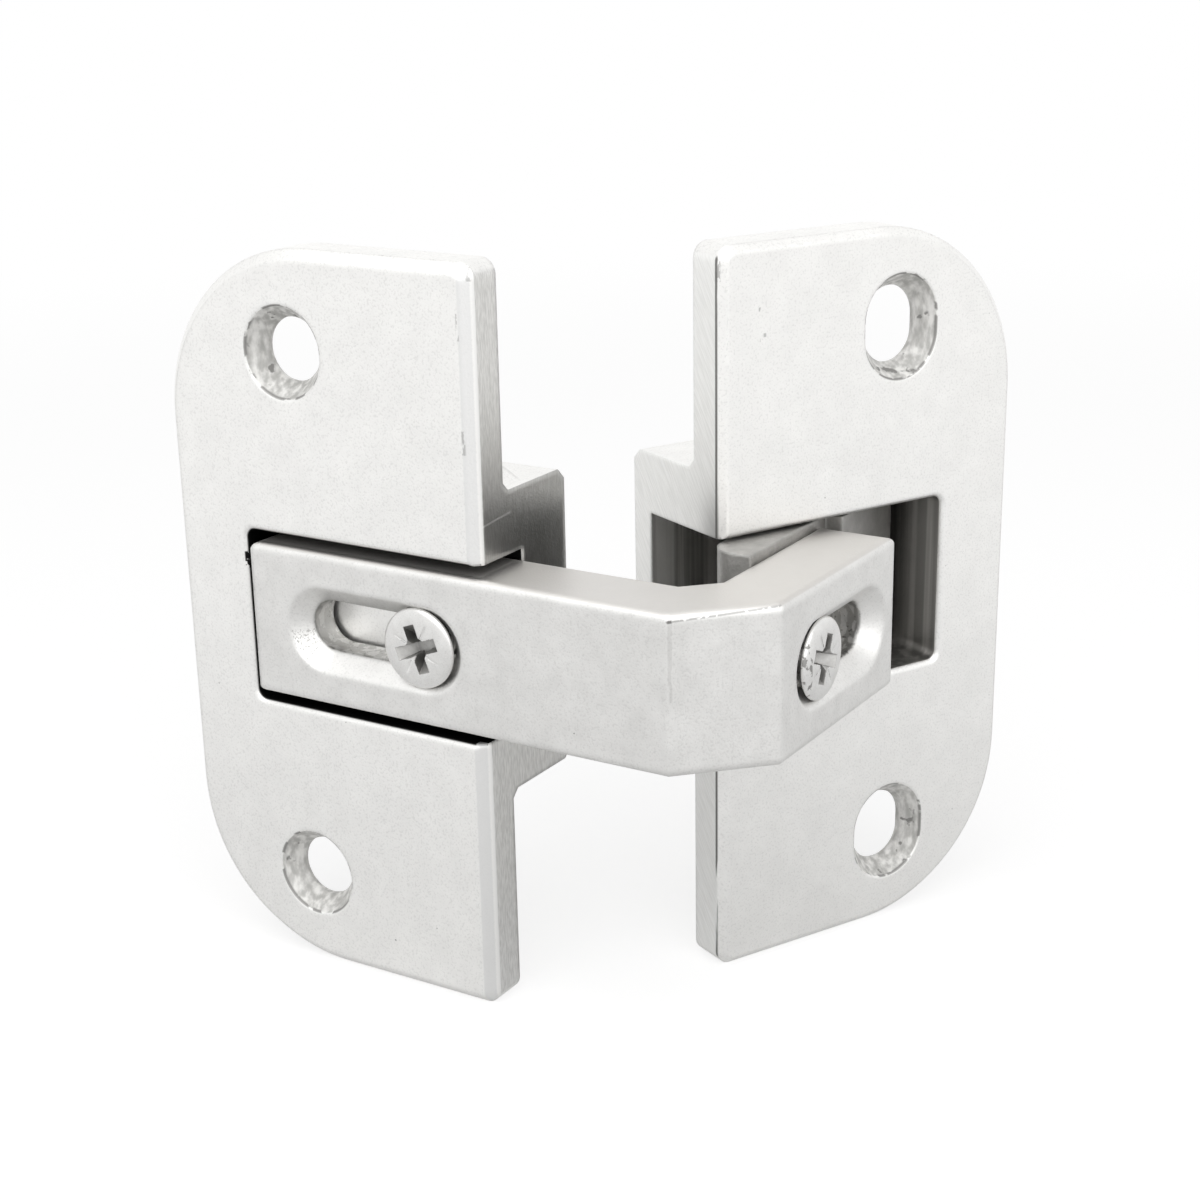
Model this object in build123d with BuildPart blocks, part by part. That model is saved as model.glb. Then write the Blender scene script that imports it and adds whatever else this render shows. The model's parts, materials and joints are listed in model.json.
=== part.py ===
"""Pie cut corner hinge: two D-shaped cast plates, a cranked arm, a knuckle on a pin and two clamp screws.

All sizes are in millimetres. The right cup faces -Y and its two screw slots are centred on the origin,
on the back face of its plate. Z is up, along the pivot pin. The pose is that of a half open corner.
"""
import math
import os
from build123d import *

os.makedirs("parts", exist_ok=True)

# plates, the same outline on both sides
plate_height = 71.0
plate_width = 35.4
plate_thickness = 4.4
corner_radius = 17.0
inner_corner = 1.5
rim_bevel = 0.7
left_rim_bevel = 1.0
inner_to_holes = 20.9
hole_spacing = 52.0
hole_radius = 3.0
hole_land = 0.4
countersink_radius = 4.4
countersink_taper = 35.0
relief_radius = 5.5
slot_run = 1.4

# boss behind each plate
boss_height = 29.0
boss_end_wall = 2.7
boss_depth = 10.1
boss_corner = 9.0
boss_bevel = 1.0
boss_root = 0.8
spigot_radius = 17.4
spigot_from_edge = 10.5
spigot_depth = 4.2

# pocket of the right cup and recess of the left plate, both open at the inner edge
slot_height = 17.1
slot_length = 26.7
slot_corner = 0.9
slot_bevel = 0.35
pocket_depth = 11.75
overcut = 3.0

# pivot pin, placed from the far end of the pocket and the front face of the right cup
pivot_to_end = 3.7
pivot_depth = 8.0
pin_radius = 1.5
pin_inset = 0.5
pin_bevel = 0.2
pin_clearance = 0.04
open_angle = 26.0

# cranked arm, drawn about the pivot with x along its right leg and y into the cup
arm_side_gap = 1.05
arm_thickness = 7.85
arm_round = 0.7
arm_proud = 0.6
tip_reach = 12.3
face_offset = 9.14
right_leg = 22.9
facet_length = 10.35
left_leg = 45.5
left_end_gap = 0.9
web_thickness = 4.6
groove_height = 10.0
right_groove = 20.6

# clamp screws in their adjusting slots
screw_radius = 2.0
head_radius = 3.85
head_rim = 0.6
screw_point = 0.5
screw_slot_radius = 2.5
trough_radius = 4.25
left_screw_from_tip = 19.1
left_travel = 10.8
left_room = 0.65
left_screw_length = 14.0
right_screw_from_tip = 14.85
right_travel = 8.9
right_room = 1.2
right_screw_length = 8.2
recess_span = 4.7
recess_wing = 0.95
recess_depth = 1.7
left_recess_turn = 20.0
right_recess_turn = -22.0
tick_span = 5.2
tick_width = 0.3
tick_depth = 0.2

# guide rib on the floor of the left recess, in the groove behind the left leg
rib_from_edge = 3.0
rib_gap = 0.45
rib_play = 0.15
rib_end_play = 0.55

# knuckle that rides on the pin and is clamped behind the right leg
groove_play = 0.05
pad_end_play = 0.4
pad_back = 2.9
barrel_radius = 3.0
barrel_play = 0.3
block_back = 3.2
block_length = 14.0
nose_round = 2.5
neck_start = 1.6
back_gap = 0.05

# places worked out from the sizes above
boss_length = slot_length + boss_end_wall
arm_height = slot_height - 2 * arm_side_gap
barrel_height = slot_height - 2 * barrel_play
pin_length = boss_height - 2 * pin_inset
inner_x = -inner_to_holes
plate_mid_x = inner_x + plate_width / 2
csk_depth = (countersink_radius - hole_radius) / math.tan(math.radians(countersink_taper))
relief_depth = plate_thickness - csk_depth - hole_land
head_sink = trough_radius - head_radius - head_rim
cos_open = math.cos(math.radians(open_angle))
sin_open = math.sin(math.radians(open_angle))
pivot_x = inner_x + slot_length - pivot_to_end
pivot_y = pivot_depth - plate_thickness
right_front = Plane(origin=(0, -plate_thickness, 0), x_dir=(1, 0, 0), z_dir=(0, -1, 0))
right_back = Plane(origin=(0, 0, 0), x_dir=(1, 0, 0), z_dir=(0, -1, 0))
swing = Plane(origin=(pivot_x, pivot_y, 0), x_dir=(cos_open, sin_open, 0), z_dir=(0, 0, 1))

# corners of the arm, outer face first
step = facet_length * math.sqrt(0.5)
leg_front = -face_offset
leg_back = leg_front + arm_thickness
right_tip = -tip_reach
right_bend = right_tip - right_leg
left_front = right_bend - step
left_bend = leg_front + step
left_back = left_front + arm_thickness
left_tip = left_bend + left_leg
inner_sum = right_bend + leg_front + arm_thickness * math.sqrt(2)
web_back = leg_front + web_thickness
groove_depth = leg_back + overcut - web_back
groove_middle = web_back + groove_depth / 2
left_screw_y = left_tip - left_screw_from_tip
left_groove = slot_length - left_end_gap - rib_from_edge + left_room + rib_end_play
rib_height = arm_thickness - web_thickness - rib_gap
pad_length = right_groove - right_room - pad_end_play
right_screw_x = right_tip - right_screw_from_tip

# planes of the left plate, whose sketches run outwards along -x
left_edge_y = left_tip + left_end_gap - slot_length
left_face_x = left_front + arm_proud
left_normal = (-cos_open, -sin_open, 0)
left_along = (sin_open, -cos_open, 0)
left_face_origin = swing.from_local_coords((left_face_x, left_edge_y, 0))
left_back_origin = swing.from_local_coords((left_face_x + plate_thickness, left_edge_y, 0))
left_front_plane = Plane(origin=left_face_origin, x_dir=left_along, z_dir=left_normal)
left_back_plane = Plane(origin=left_back_origin, x_dir=left_along, z_dir=left_normal)
left_axis = Axis(left_face_origin, left_normal)
left_width_axis = Axis(left_face_origin, left_along)

# planes square to the two legs, on their outer faces
right_leg_origin = swing.from_local_coords((right_screw_x, leg_front, 0))
right_leg_plane = Plane(origin=right_leg_origin, x_dir=swing.x_dir, z_dir=left_along)
left_leg_origin = swing.from_local_coords((left_front, left_screw_y, 0))
left_leg_plane = Plane(origin=left_leg_origin, x_dir=left_along, z_dir=left_normal)
adjusting_slots = (
    (right_leg_plane, right_travel, right_room),
    (left_leg_plane, -left_travel, -left_room),
)

# right cup: plate, boss, pocket open at the inner edge, two slotted screw holes, bores for the pin
with BuildPart() as right_cup:
    with BuildSketch(right_front) as plate_outline:
        with Locations((plate_mid_x, 0)):
            Rectangle(plate_width, plate_height)
        fillet(plate_outline.vertices().group_by(Axis.X)[-1], corner_radius)
        fillet(plate_outline.vertices().group_by(Axis.X)[0], inner_corner)
    extrude(amount=-plate_thickness)
    chamfer(right_cup.faces().sort_by(Axis.Y)[0].edges(), rim_bevel)
    with BuildSketch(right_back) as boss_outline:
        with Locations((inner_x + boss_length / 2, 0)):
            Rectangle(boss_length, boss_height)
        fillet(boss_outline.vertices().group_by(Axis.X)[-1], boss_corner)
    extrude(amount=-boss_depth)
    boss_edges = right_cup.edges(Select.LAST).filter_by(Axis.Y, reverse=True)
    chamfer(boss_edges.group_by(Axis.Y)[0].sort_by(Axis.X)[2:], boss_root)
    boss_rim = right_cup.faces().sort_by(Axis.Y)[-1].edges().sort_by(Axis.X)[1:]
    chamfer(boss_rim, boss_bevel)
    with BuildSketch(right_front) as pocket:
        with Locations((inner_x + (slot_length - overcut) / 2, 0)):
            Rectangle(slot_length + overcut, slot_height)
        fillet(pocket.vertices().group_by(Axis.X)[-1], slot_corner)
    extrude(amount=-pocket_depth, mode=Mode.SUBTRACT)
    with BuildSketch(right_front) as pocket_rim:
        with Locations((inner_x + (slot_length + slot_bevel - overcut) / 2, 0)):
            Rectangle(slot_length + slot_bevel + overcut, slot_height + 2 * slot_bevel)
        fillet(pocket_rim.vertices().group_by(Axis.X)[-1], slot_corner + slot_bevel)
    extrude(amount=-slot_bevel, taper=45, mode=Mode.SUBTRACT)
    with BuildSketch(right_front):
        with GridLocations(0, hole_spacing, 1, 2):
            SlotCenterToCenter(slot_run, 2 * countersink_radius, rotation=90)
    extrude(amount=-csk_depth, taper=countersink_taper, mode=Mode.SUBTRACT)
    with BuildSketch(right_front):
        with GridLocations(0, hole_spacing, 1, 2):
            SlotCenterToCenter(slot_run, 2 * hole_radius, rotation=90)
    extrude(amount=-plate_thickness, mode=Mode.SUBTRACT)
    with BuildSketch(right_back):
        with GridLocations(0, hole_spacing, 1, 2):
            SlotCenterToCenter(slot_run, 2 * relief_radius, rotation=90)
    extrude(amount=relief_depth, mode=Mode.SUBTRACT)
    with Locations((pivot_x, pivot_y, 0)):
        Cylinder(pin_radius, boss_height, mode=Mode.SUBTRACT)
right_cup.part.label = "right_cup"
export_step(right_cup.part, "parts/right_cup.step")

# pivot pin, pressed into the walls of the right cup
with BuildPart() as pivot_pin:
    with Locations((pivot_x, pivot_y, 0)):
        Cylinder(pin_radius, pin_length)
    chamfer(pivot_pin.edges(), pin_bevel)
pivot_pin.part.label = "pivot_pin"
export_step(pivot_pin.part, "parts/pivot_pin.step")

# left plate: same outline, shallower recess with a thick floor that takes the clamp screw
with BuildPart() as left_plate:
    with BuildSketch(left_front_plane) as left_outline:
        with Locations((-plate_width / 2, 0)):
            Rectangle(plate_width, plate_height)
        fillet(left_outline.vertices().group_by(Axis.X)[0], corner_radius)
        fillet(left_outline.vertices().group_by(Axis.X)[-1], inner_corner)
    extrude(amount=-plate_thickness)
    chamfer(left_plate.faces().sort_by(left_axis)[-1].edges(), left_rim_bevel)
    with BuildSketch(left_back_plane) as left_boss:
        with Locations((-boss_length / 2, 0)):
            Rectangle(boss_length, boss_height)
        fillet(left_boss.vertices().group_by(Axis.X)[0], boss_corner)
    extrude(amount=-boss_depth)
    left_boss_edges = left_plate.edges(Select.LAST).filter_by(left_axis, reverse=True)
    chamfer(left_boss_edges.group_by(left_axis)[-1].sort_by(left_width_axis)[:-2], boss_root)
    left_rim = left_plate.faces().sort_by(left_axis)[0].edges().sort_by(left_width_axis)[:-1]
    chamfer(left_rim, boss_bevel)
    with BuildSketch(left_back_plane):
        with Locations((-spigot_from_edge, 0)):
            Circle(spigot_radius)
        with Locations((plate_width / 2, 0)):
            Rectangle(plate_width, plate_height, mode=Mode.SUBTRACT)
    extrude(amount=-spigot_depth)
    with BuildSketch(left_front_plane) as recess:
        with Locations(((overcut - slot_length) / 2, 0)):
            Rectangle(slot_length + overcut, slot_height)
        fillet(recess.vertices().group_by(Axis.X)[0], slot_corner)
    extrude(amount=arm_proud - arm_thickness, mode=Mode.SUBTRACT)
    with BuildSketch(left_front_plane) as recess_rim:
        with Locations(((overcut - slot_length - slot_bevel) / 2, 0)):
            Rectangle(slot_length + slot_bevel + overcut, slot_height + 2 * slot_bevel)
        fillet(recess_rim.vertices().group_by(Axis.X)[0], slot_corner + slot_bevel)
    extrude(amount=-slot_bevel, taper=45, mode=Mode.SUBTRACT)
    with BuildSketch(left_front_plane.offset(arm_proud - arm_thickness)):
        with Locations((-(rib_from_edge + slot_length) / 2, 0)):
            Rectangle(slot_length - rib_from_edge, groove_height - 2 * rib_play)
    extrude(amount=rib_height)
    with BuildSketch(left_front_plane):
        with Locations((-inner_to_holes, 0)):
            with GridLocations(0, hole_spacing, 1, 2):
                Circle(countersink_radius)
    extrude(amount=-csk_depth, taper=countersink_taper, mode=Mode.SUBTRACT)
    with BuildSketch(left_front_plane):
        with Locations((-inner_to_holes, 0)):
            with GridLocations(0, hole_spacing, 1, 2):
                Circle(hole_radius)
    extrude(amount=-plate_thickness, mode=Mode.SUBTRACT)
    with BuildSketch(left_back_plane):
        with Locations((-inner_to_holes, 0)):
            with GridLocations(0, hole_spacing, 1, 2):
                Circle(relief_radius)
    extrude(amount=relief_depth, mode=Mode.SUBTRACT)
    with BuildSketch(left_leg_plane):
        Circle(screw_radius)
    extrude(amount=-left_screw_length - head_sink, mode=Mode.SUBTRACT)
left_plate.part.label = "left_plate"
export_step(left_plate.part, "parts/left_plate.step")

# cranked arm: two legs at a right angle joined by a facet, with a countersunk adjusting slot in each
with BuildPart() as cranked_arm:
    with BuildSketch(swing):
        with BuildLine():
            Polyline(
                (right_tip, leg_front),
                (right_bend, leg_front),
                (left_front, left_bend),
                (left_front, left_tip),
                (left_back, left_tip),
                (left_back, inner_sum - left_back),
                (inner_sum - leg_back, leg_back),
                (right_tip, leg_back),
                close=True,
            )
        make_face()
    extrude(amount=arm_height / 2, both=True)
    fillet(cranked_arm.edges().group_by(Axis.Z)[-1] + cranked_arm.edges().group_by(Axis.Z)[0], arm_round)
    with BuildSketch(swing):
        with Locations((right_tip - (right_groove - overcut) / 2, groove_middle)):
            Rectangle(right_groove + overcut, groove_depth)
        with Locations((left_front - leg_front + groove_middle, left_tip - (left_groove - overcut) / 2)):
            Rectangle(groove_depth, left_groove + overcut)
    extrude(amount=groove_height / 2, both=True, mode=Mode.SUBTRACT)
    for leg_plane, travel, room in adjusting_slots:
        with BuildSketch(leg_plane):
            with Locations(((travel - room) / 2, 0)):
                SlotCenterToCenter(abs(travel + room), 2 * trough_radius)
        extrude(amount=screw_slot_radius - trough_radius, taper=45, mode=Mode.SUBTRACT)
        with BuildSketch(leg_plane):
            with Locations(((travel - room) / 2, 0)):
                SlotCenterToCenter(abs(travel + room), 2 * screw_slot_radius)
        extrude(amount=-arm_thickness, mode=Mode.SUBTRACT)
cranked_arm.part.label = "cranked_arm"
export_step(cranked_arm.part, "parts/cranked_arm.step")

# knuckle: barrel on the pin, a full height block along the back of the leg and a pad in the leg's groove
with BuildPart() as knuckle:
    with BuildSketch(swing) as block:
        with BuildLine():
            Polyline(
                (0, -barrel_radius),
                (right_tip + neck_start, -barrel_radius),
                (right_tip + neck_start, leg_back + back_gap),
                (right_tip - block_length, leg_back + back_gap),
                (right_tip - block_length, block_back),
                (0, block_back),
                close=True,
            )
        make_face()
        fillet(block.vertices().sort_by_distance((right_tip - block_length, block_back))[0], nose_round)
    extrude(amount=barrel_height / 2, both=True)
    with BuildSketch(swing):
        with BuildLine():
            Polyline(
                (0, -barrel_radius),
                (right_tip + neck_start, -barrel_radius),
                (right_tip + neck_start, web_back),
                (right_tip - pad_length, web_back),
                (right_tip - pad_length, web_back + pad_back),
                (right_tip - block_length, web_back + pad_back),
                (right_tip - block_length, 0),
                (0, 0),
                close=True,
            )
        make_face()
    extrude(amount=groove_height / 2 - groove_play, both=True)
    with BuildSketch(swing):
        Circle(barrel_radius)
    extrude(amount=barrel_height / 2, both=True)
    with BuildSketch(swing):
        Circle(pin_radius + pin_clearance)
    extrude(amount=barrel_height, both=True, mode=Mode.SUBTRACT)
    with BuildSketch(right_leg_plane):
        Circle(screw_radius)
    extrude(amount=-right_screw_length - head_sink, mode=Mode.SUBTRACT)
knuckle.part.label = "knuckle"
export_step(knuckle.part, "parts/knuckle.step")

# clamp screws: countersunk heads with a cross recess, one into the knuckle and one into the left plate
clamp_screws = (
    ("right_screw", right_leg_plane.offset(-head_sink), right_screw_length, right_recess_turn),
    ("left_screw", left_leg_plane.offset(-head_sink), left_screw_length, left_recess_turn),
)
for screw_name, head_plane, screw_length, recess_turn in clamp_screws:
    with BuildPart() as clamp_screw:
        with BuildSketch(Plane(origin=head_plane.origin, x_dir=head_plane.x_dir, z_dir=-head_plane.y_dir)):
            with BuildLine():
                Polyline(
                    (0, 0),
                    (head_radius, 0),
                    (head_radius, -head_rim),
                    (screw_radius, screw_radius - head_radius - head_rim),
                    (screw_radius, screw_point - screw_length),
                    (screw_radius - screw_point, -screw_length),
                    (0, -screw_length),
                    close=True,
                )
            make_face()
        revolve(axis=Axis(head_plane.origin, head_plane.z_dir))
        with BuildSketch(head_plane):
            Rectangle(recess_span, recess_wing, rotation=recess_turn)
            Rectangle(recess_wing, recess_span, rotation=recess_turn)
        extrude(amount=-recess_depth, mode=Mode.SUBTRACT)
        with BuildSketch(head_plane):
            Rectangle(tick_span, tick_width, rotation=recess_turn + 45)
            Rectangle(tick_width, tick_span, rotation=recess_turn + 45)
        extrude(amount=-tick_depth, mode=Mode.SUBTRACT)
    clamp_screw.part.label = screw_name
    export_step(clamp_screw.part, f"parts/{screw_name}.step")
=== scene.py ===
import json
import math

import bmesh
import bpy
from mathutils import Matrix, Quaternion, Vector


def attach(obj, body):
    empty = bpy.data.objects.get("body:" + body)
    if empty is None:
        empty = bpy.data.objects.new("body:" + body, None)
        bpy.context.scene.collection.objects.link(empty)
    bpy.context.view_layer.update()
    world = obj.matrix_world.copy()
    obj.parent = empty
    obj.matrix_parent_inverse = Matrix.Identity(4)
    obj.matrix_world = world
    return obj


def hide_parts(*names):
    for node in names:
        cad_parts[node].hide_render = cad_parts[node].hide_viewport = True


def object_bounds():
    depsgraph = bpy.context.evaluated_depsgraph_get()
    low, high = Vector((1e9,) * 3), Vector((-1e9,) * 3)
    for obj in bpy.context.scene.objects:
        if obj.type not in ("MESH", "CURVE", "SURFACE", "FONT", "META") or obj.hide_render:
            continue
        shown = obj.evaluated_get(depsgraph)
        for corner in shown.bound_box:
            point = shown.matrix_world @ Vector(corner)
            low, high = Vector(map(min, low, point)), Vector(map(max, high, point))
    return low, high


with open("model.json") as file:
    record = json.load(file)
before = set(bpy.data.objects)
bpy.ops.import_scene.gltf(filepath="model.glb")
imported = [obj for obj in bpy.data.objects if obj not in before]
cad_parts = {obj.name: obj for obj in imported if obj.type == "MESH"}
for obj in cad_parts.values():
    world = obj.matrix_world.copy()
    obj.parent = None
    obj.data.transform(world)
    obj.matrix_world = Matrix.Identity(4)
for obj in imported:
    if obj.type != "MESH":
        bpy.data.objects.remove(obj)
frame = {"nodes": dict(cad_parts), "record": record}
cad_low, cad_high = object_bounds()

# Studio: a white floor that keeps the hinge's shadow, one broad soft lamp above on the left
# and a weaker one in front. The camera stands where the photograph was taken from.
scene = bpy.context.scene
scene.view_settings.view_transform = "Standard"

CAMERA_PLACE = (-0.13059, -0.15818, 0.06479)
CAMERA_YAW = 32.86
CAMERA_PITCH = -19.11
CAMERA_ROLL = -0.87
CAMERA_LENS = 64.06
CAMERA_SENSOR = 36.0
CAMERA_SHIFT = (-0.02368, 0.03002)
CAMERA_CLIP = 0.005


def looking(yaw, pitch, roll=0.0):
    """Turn that looks along a compass angle and a slope, in degrees."""
    level = math.cos(math.radians(pitch))
    ahead = Vector((math.sin(math.radians(yaw)) * level, math.cos(math.radians(yaw)) * level,
                    math.sin(math.radians(pitch))))
    return ahead.to_track_quat("-Z", "Y") @ Quaternion((0, 0, 1), math.radians(roll))


camera = bpy.data.objects.new("camera", bpy.data.cameras.new("camera"))
scene.collection.objects.link(camera)
camera.location = CAMERA_PLACE
camera.rotation_mode = "QUATERNION"
camera.rotation_quaternion = looking(CAMERA_YAW, CAMERA_PITCH, CAMERA_ROLL)
camera.data.lens = CAMERA_LENS
camera.data.sensor_width = CAMERA_SENSOR
camera.data.shift_x, camera.data.shift_y = CAMERA_SHIFT
camera.data.clip_start = CAMERA_CLIP
scene.camera = camera


def feed(tree, socket, value):
    """Joins a socket to another node's output, or sets its plain value."""
    if isinstance(value, bpy.types.NodeSocket):
        tree.links.new(value, socket)
    else:
        socket.default_value = value


def node(tree, kind, inputs=(), **settings):
    """Adds a node, sets its properties, and feeds its inputs by name or number."""
    made = tree.nodes.new(kind)
    for name, value in settings.items():
        setattr(made, name, value)
    for key, value in dict(inputs).items():
        feed(tree, made.inputs[key], value)
    return made


def maths(tree, operation, first, second=0.0, third=0.0):
    """Result of one Math node."""
    inputs = {0: first, 1: second, 2: third}
    return node(tree, "ShaderNodeMath", inputs, operation=operation).outputs[0]


def seen_as_background(tree):
    """One for rays from the camera, from a gloss or through glass, nothing for the light that falls."""
    path = node(tree, "ShaderNodeLightPath")
    direct = maths(tree, "MAXIMUM", path.outputs["Is Camera Ray"], path.outputs["Is Glossy Ray"])
    return maths(tree, "MAXIMUM", direct, path.outputs["Is Transmission Ray"])


SKY_LIGHT = 0.45
world = bpy.data.worlds.new("studio")
scene.world = world
world.use_nodes = True
sky = world.node_tree
sky.nodes.clear()
sky_level = node(sky, "ShaderNodeMapRange", {
    "Value": seen_as_background(sky), "To Min": SKY_LIGHT, "To Max": 1.0})
sky_light = node(sky, "ShaderNodeBackground", {"Color": (1, 1, 1, 1), "Strength": sky_level.outputs[0]})
node(sky, "ShaderNodeOutputWorld", {"Surface": sky_light.outputs[0]})

# name, place, size and power of each lamp
LAMPS = (
    ("key_lamp", (-0.33, -0.25, 0.55), 0.90, 3.0),
    ("front_lamp", (0.05, -0.60, 0.30), 0.50, 0.7),
)
for lamp_name, lamp_place, lamp_size, lamp_power in LAMPS:
    lamp = bpy.data.objects.new(lamp_name, bpy.data.lights.new(lamp_name, "AREA"))
    scene.collection.objects.link(lamp)
    lamp.location = lamp_place
    lamp.rotation_mode = "QUATERNION"
    lamp.rotation_quaternion = (-Vector(lamp_place)).to_track_quat("-Z", "Y")
    lamp.visible_camera = False
    lamp.data.size = lamp_size
    lamp.data.energy = lamp_power

FLOOR_SIZE = 3.0
FLOOR_NEAR = 0.16
FLOOR_FAR = 0.45
FLOOR_GLOW = 0.66
FLOOR_TONE = 0.45
GLOSS_PAINTED_SHADE_GLOW = 0.25
GLOSS_FAR = 0.45
floor_mesh = bpy.data.meshes.new("floor")
floor_signs = ((-1, -1), (1, -1), (1, 1), (-1, 1))
floor_corners = [(x * FLOOR_SIZE, y * FLOOR_SIZE, cad_low.z) for x, y in floor_signs]
floor_mesh.from_pydata(floor_corners, [], [(0, 1, 2, 3)])
floor = bpy.data.objects.new("floor", floor_mesh)
scene.collection.objects.link(floor)
floor_white = bpy.data.materials.new("floor_white")
floor_white.use_nodes = True
paint = floor_white.node_tree
paint.nodes.clear()
floor_middle = (cad_low + cad_high) / 2
floor_place = node(paint, "ShaderNodeTexCoord").outputs["Object"]
floor_reach = node(paint, "ShaderNodeVectorMath", {
    0: floor_place, 1: (floor_middle.x, floor_middle.y, cad_low.z)}, operation="DISTANCE").outputs["Value"]
floor_fade = node(paint, "ShaderNodeMapRange", {
    "Value": floor_reach, "From Min": FLOOR_NEAR, "From Max": FLOOR_FAR},
    interpolation_type="SMOOTHSTEP").outputs[0]
floor_tone = maths(paint, "MULTIPLY_ADD", floor_fade, -FLOOR_TONE, FLOOR_TONE)
camera_glow = maths(paint, "MULTIPLY_ADD", floor_fade, 1.0 - FLOOR_GLOW, FLOOR_GLOW)
# painted shade: the floor's glow as seen in glosses is dimmed near the hinge, so the plates' lower parts
# reflect a darker floor
gloss_painted_shade_glow = node(paint, "ShaderNodeMapRange", {
    "Value": floor_reach, "From Max": GLOSS_FAR, "To Min": GLOSS_PAINTED_SHADE_GLOW, "To Max": 1.0}).outputs[0]
floor_path = node(paint, "ShaderNodeLightPath").outputs
floor_gloss = maths(paint, "MAXIMUM", floor_path["Is Glossy Ray"], floor_path["Is Transmission Ray"])
floor_seen = maths(paint, "MULTIPLY_ADD", camera_glow, floor_path["Is Camera Ray"],
                   maths(paint, "MULTIPLY", gloss_painted_shade_glow, floor_gloss))
floor_grey = node(paint, "ShaderNodeCombineColor", {0: floor_tone, 1: floor_tone, 2: floor_tone})
floor_matt = node(paint, "ShaderNodeBsdfDiffuse", {"Color": floor_grey.outputs[0]})
floor_bright = node(paint, "ShaderNodeEmission", {"Strength": floor_seen})
floor_sum = node(paint, "ShaderNodeAddShader", {0: floor_matt.outputs[0], 1: floor_bright.outputs[0]})
node(paint, "ShaderNodeOutputMaterial", {"Surface": floor_sum.outputs[0]})
floor.data.materials.append(floor_white)

# Right cup: a zinc die casting under satin nickel plate, screwed to one door through its upright slots.
# Its inner edge is ground flat after plating. The pocket for the arm is streaked, laid dark inside as
# painted shade and lighter near its mouth as painted light.
MM = 0.001
NICKEL_LIGHT = (1.0, 0.995, 0.975, 1)
NICKEL_DARK = (0.85, 0.845, 0.83, 1)
# bright of rubbed edges and scratches, also a painted highlight on the left plate's inner edge
WEAR_AND_HIGHLIGHT_BRIGHT = (0.93, 0.925, 0.91, 1)
PIT_GREY = (0.34, 0.335, 0.325, 1)
# dark of real nicks, also laid as painted shade and a painted reflection on the right cup
NICK_AND_SHADE_GREY = (0.20, 0.195, 0.19, 1)
# painted shade laid into hollows and corners
PAINTED_HOLLOW_SHADE_GREY = (0.045, 0.044, 0.042, 1)


def effect(name, inputs, outputs):
    """Starts a shader node group with named number inputs and named outputs."""
    group = bpy.data.node_groups.new(name, "ShaderNodeTree")
    for title, value in inputs.items():
        socket = group.interface.new_socket(title, in_out="INPUT", socket_type="NodeSocketFloat")
        socket.default_value = value
    for title, kind in outputs.items():
        group.interface.new_socket(title, in_out="OUTPUT", socket_type=kind)
    return group, group.nodes.new("NodeGroupInput"), group.nodes.new("NodeGroupOutput")


def placed(tree, group, **inputs):
    """Puts a node group into a material with its own values and gives its outputs."""
    holder = tree.nodes.new("ShaderNodeGroup")
    holder.node_tree = group
    for title, value in inputs.items():
        feed(tree, holder.inputs[title.replace("_", " ").title()], value)
    return holder.outputs


def smooth_step(tree, value, low, high):
    """Nothing below the low value, one above the high one, and a soft rise between them."""
    inputs = {"Value": value, "From Min": low, "From Max": high}
    return node(tree, "ShaderNodeMapRange", inputs, interpolation_type="SMOOTHSTEP").outputs[0]


def tint(tree, factor, below, above):
    """Colour that goes from one to another."""
    return node(tree, "ShaderNodeMix", {0: factor, 6: below, 7: above}, data_type="RGBA").outputs[2]


def millimetres(tree):
    """Place on the piece at rest, in millimetres."""
    place = node(tree, "ShaderNodeTexCoord").outputs["Object"]
    return node(tree, "ShaderNodeVectorMath", {0: place, "Scale": 1 / MM}, operation="SCALE").outputs[0]


# band: one between two values of a measure, with soft ends
band, given, gives = effect(
    "band",
    {"Measure": 0.0, "Low": 0.0, "High": 1.0, "Blur": 0.1},
    {"Mask": "NodeSocketFloat"})
band_foot = maths(band, "SUBTRACT", given.outputs["Low"], given.outputs["Blur"])
band_end = maths(band, "ADD", given.outputs["High"], given.outputs["Blur"])
band_rise = smooth_step(band, given.outputs["Measure"], band_foot, given.outputs["Low"])
band_fall = smooth_step(band, given.outputs["Measure"], given.outputs["High"], band_end)
band_kept = maths(band, "SUBTRACT", 1.0, band_fall)
feed(band, gives.inputs["Mask"], maths(band, "MULTIPLY", band_rise, band_kept))

# cast skin: the cloudy tone, fine grain and rare pits of a blasted and plated casting
PIT_WANDER_SCALE = 6.0
PIT_WANDER = 0.25
PIT_RIM = (0.01, 0.06)
cast_skin, given, gives = effect(
    "cast_skin",
    {"Cloud Size": 3.0, "Grain Size": 0.22, "Pit Spacing": 2.2, "Pit Share": 0.10},
    {"Cloud": "NodeSocketFloat", "Grain": "NodeSocketFloat", "Pits": "NodeSocketFloat",
     "Height": "NodeSocketFloat"})
skin_place = millimetres(cast_skin)
cloud = node(cast_skin, "ShaderNodeTexNoise", {
    "Vector": skin_place, "Scale": maths(cast_skin, "DIVIDE", 1.0, given.outputs["Cloud Size"]),
    "Detail": 6.0, "Roughness": 0.65}).outputs[0]
grain = node(cast_skin, "ShaderNodeTexNoise", {
    "Vector": skin_place, "Scale": maths(cast_skin, "DIVIDE", 1.0, given.outputs["Grain Size"]),
    "Detail": 2.0}).outputs[0]
pit_wander = node(cast_skin, "ShaderNodeTexNoise", {"Vector": skin_place, "Scale": PIT_WANDER_SCALE})
pit_shift = node(cast_skin, "ShaderNodeVectorMath", {
    0: pit_wander.outputs["Color"], "Scale": PIT_WANDER}, operation="SCALE").outputs[0]
pit_place = node(cast_skin, "ShaderNodeVectorMath", {
    0: skin_place, 1: pit_shift}, operation="ADD").outputs[0]
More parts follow.
